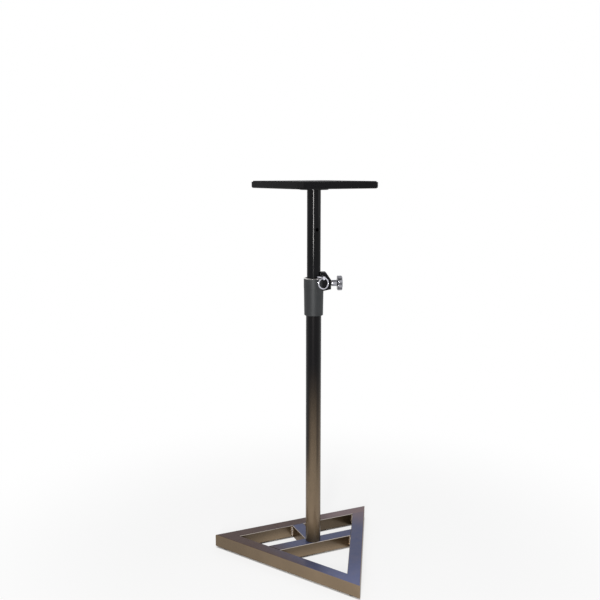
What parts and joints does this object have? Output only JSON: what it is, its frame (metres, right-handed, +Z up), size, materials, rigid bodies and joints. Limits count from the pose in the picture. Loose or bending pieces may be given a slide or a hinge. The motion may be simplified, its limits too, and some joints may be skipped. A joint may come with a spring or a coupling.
{
  "type": "speaker stand",
  "caption": "Height-adjustable speaker stand: square platform on a telescopic round mast with a pin and clamp knob, on a flat triangular base of square tube.",
  "frame": {"origin": "on the floor under the centre of the base's footprint; the mast stands behind it, on the centroid of the triangle", "axes": "+Z up along the mast, the base's front apex towards -Y, +X to the right as seen from the front"},
  "size_m": [0.41, 0.355, 0.879],
  "materials": {
    "bronze_paint": "glossy metallic paint, dark bronze grey",
    "black_paint": "glossy black paint",
    "collar_grey": "satin grey casting",
    "black_plastic": "fine grained black moulding",
    "nylon": "dark smooth nylon",
    "chrome": "bright chrome plate",
    "brass": "turned brass",
    "zinc_steel": "zinc plated steel",
    "black_board": "black lacquer on board",
    "rubber": "matt black rubber"
  },
  "bodies": {
    "base": {"base_beam_back": "bronze_paint", "base_beam_left": "bronze_paint", "base_beam_right": "bronze_paint", "base_crossbar": "bronze_paint", "base_spine": "bronze_paint", "base_welds": "bronze_paint", "foot_pad_left": "rubber", "foot_pad_right": "rubber", "foot_pad_front": "rubber", "lower_tube": "bronze_paint", "mast_foot_plug": "zinc_steel", "mast_washer": "zinc_steel", "mast_bolt": "zinc_steel", "collar": "collar_grey", "guide_bush": "nylon", "collar_grub_screw": "zinc_steel", "clamp_block": "black_plastic", "clamp_insert": "brass", "clamp_pad": "brass"},
    "clamp_spindle": {"clamp_screw": "zinc_steel", "clamp_knob": "chrome"},
    "glide": {"mast_glide": "nylon"},
    "mast": {"upper_tube": "black_paint", "head_flange": "black_paint", "flange_screws": "zinc_steel", "top_plate": "black_board", "plate_mat": "rubber"},
    "pin": {"safety_pin": "chrome"},
    "ring": {"pull_ring": "chrome"}
  },
  "joints": [
    {"name": "height_slide", "type": "slide", "parent": "base", "child": "glide", "axis": [0, 0, 1], "range_m": [0, 0.42]},
    {"name": "mast_swivel", "type": "hinge", "parent": "glide", "child": "mast", "pos_m": [0, 0.05918, 0.7], "axis": [0, 0, 1], "range_deg": [-64, 15]},
    {"name": "pin_pull", "type": "slide", "parent": "mast", "child": "pin", "axis": [0.0698, -0.9976, 0], "range_m": [0, 0.045]},
    {"name": "ring_swing", "type": "hinge", "parent": "pin", "child": "ring", "pos_m": [0.0031, 0.01479, 0.6666], "axis": [0.9976, 0.0698, 0], "range_deg": [-250, 52]},
    {"name": "clamp_turn", "type": "hinge", "parent": "base", "child": "clamp_spindle", "pos_m": [0.04698, 0.04208, 0.65], "axis": [0.9397, -0.342, 0], "range_deg": [0, 360]}
  ]
}
